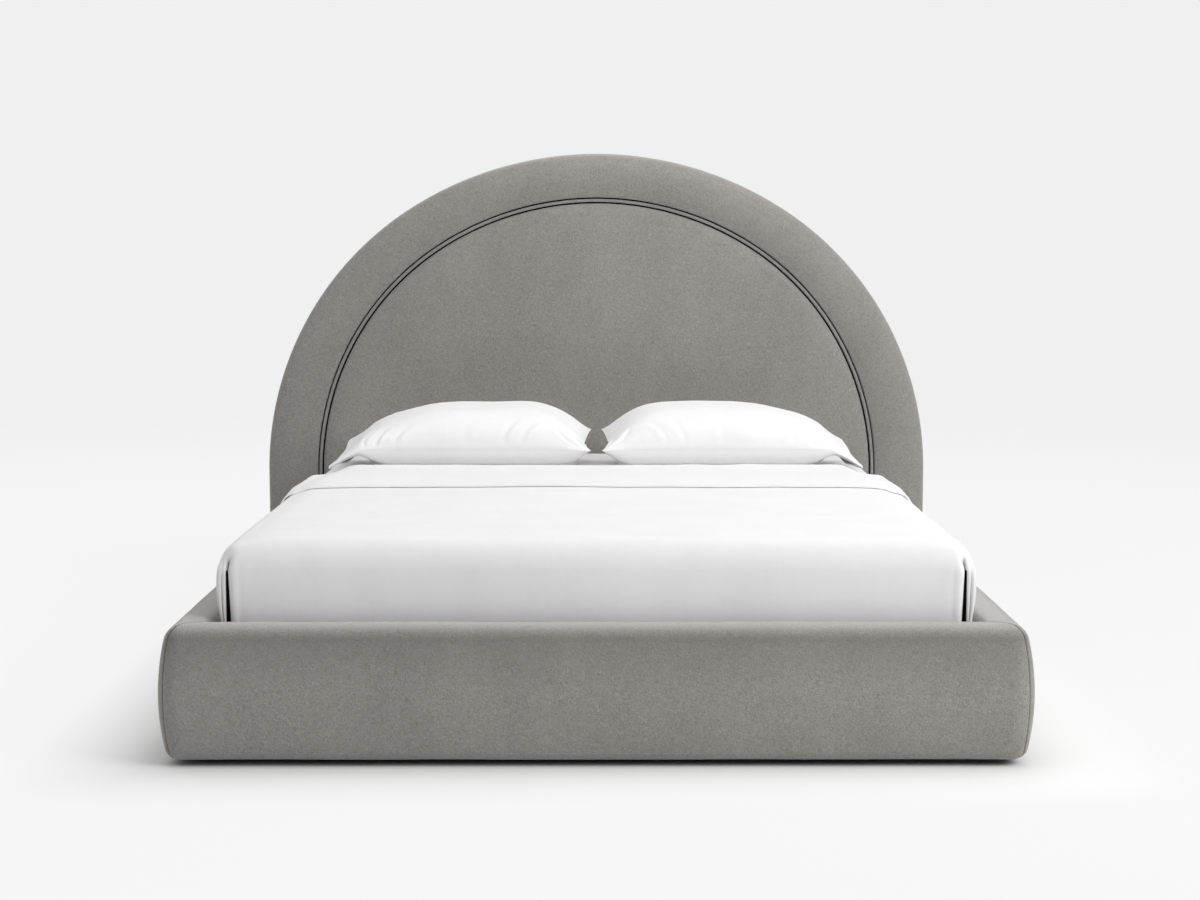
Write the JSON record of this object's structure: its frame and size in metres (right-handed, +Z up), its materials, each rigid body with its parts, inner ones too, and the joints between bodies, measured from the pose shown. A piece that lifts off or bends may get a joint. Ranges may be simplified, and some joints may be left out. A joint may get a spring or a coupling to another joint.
{
  "type": "upholstered double bed with a half-round headboard",
  "caption": "Low upholstered platform bed with a padded half-round headboard, piped border, soft rails, slatted deck, mattress, tucked white bedding and pillows.",
  "frame": {"origin": "on the floor, at the centre of the footprint", "axes": "+X across the bed, to the right of someone standing at the foot and looking at the headboard; +Y from the foot to the headboard; +Z up"},
  "size_m": [1.996, 2.277, 1.316],
  "materials": {
    "upholstery": "matte short-napped woven fabric, warm grey",
    "foam": "matte foam",
    "dust_cloth": "matte non-woven cloth, black",
    "frame_timber": "planed softwood and board, unfinished",
    "slat_timber": "planed softwood, unfinished",
    "webbing": "woven tape",
    "black_steel": "black powder coat",
    "zinc_fasteners": "bright zinc plate",
    "black_plastic": "moulded, matte black",
    "ticking": "knitted ticking, white",
    "white_linen": "smooth cotton, white",
    "pillowcase": "smooth cotton, white"
  },
  "bodies": {
    "bed_frame": {"beam_hanger_foot": "black_steel", "beam_hanger_head": "black_steel", "centre_beam": "black_steel", "centre_leg_front": "black_plastic", "centre_leg_rear": "black_plastic", "foot_bracket_left": "black_steel", "foot_bracket_right": "black_steel", "frame_bolts": "zinc_fasteners", "front_foot_left": "black_plastic", "front_foot_right": "black_plastic", "head_bracket_left": "black_steel", "head_bracket_right": "black_steel", "headboard_back_cover": "dust_cloth", "headboard_border_pad": "upholstery", "headboard_centre_pad": "upholstery", "headboard_centre_stile": "frame_timber", "headboard_crossrail_lower": "frame_timber", "headboard_crossrail_upper": "frame_timber", "headboard_glides": "black_plastic", "headboard_panel": "frame_timber", "headboard_post_left": "frame_timber", "headboard_post_right": "frame_timber", "headboard_rim_crown": "frame_timber", "headboard_rim_left": "frame_timber", "headboard_rim_right": "frame_timber", "headboard_welt": "upholstery", "ledger_left": "frame_timber", "ledger_right": "frame_timber", "ledger_screws": "zinc_fasteners", "middle_foot_left": "black_plastic", "middle_foot_right": "black_plastic", "rail_board_foot": "frame_timber", "rail_board_left": "frame_timber", "rail_board_right": "frame_timber", "rail_cover_foot": "upholstery", "rail_cover_left": "upholstery", "rail_cover_right": "upholstery", "rail_foam_foot": "foam", "rail_foam_left": "foam", "rail_foam_right": "foam", "slat_01": "slat_timber", "slat_02": "slat_timber", "slat_03": "slat_timber", "slat_04": "slat_timber", "slat_05": "slat_timber", "slat_06": "slat_timber", "slat_07": "slat_timber", "slat_08": "slat_timber", "slat_09": "slat_timber", "slat_10": "slat_timber", "slat_11": "slat_timber", "slat_12": "slat_timber", "slat_13": "slat_timber", "slat_straps": "webbing"},
    "mattress_and_linen": {"mattress": "ticking", "fitted_sheet": "white_linen", "coverlet": "white_linen", "turned_down_sheet": "white_linen"},
    "pillow_right": {"pillow_right": "pillowcase"},
    "pillow_left": {"pillow_left": "pillowcase"}
  },
  "joints": [
    {"name": "mattress_lift", "type": "slide", "parent": "bed_frame", "child": "mattress_and_linen", "axis": [0, 0, 1], "range_m": [0, 0.3]},
    {"name": "pillow_right_lift", "type": "slide", "parent": "mattress_and_linen", "child": "pillow_right", "axis": [0, 0, 1], "range_m": [0, 0.25]},
    {"name": "pillow_left_lift", "type": "slide", "parent": "mattress_and_linen", "child": "pillow_left", "axis": [0, 0, 1], "range_m": [0, 0.25]}
  ]
}
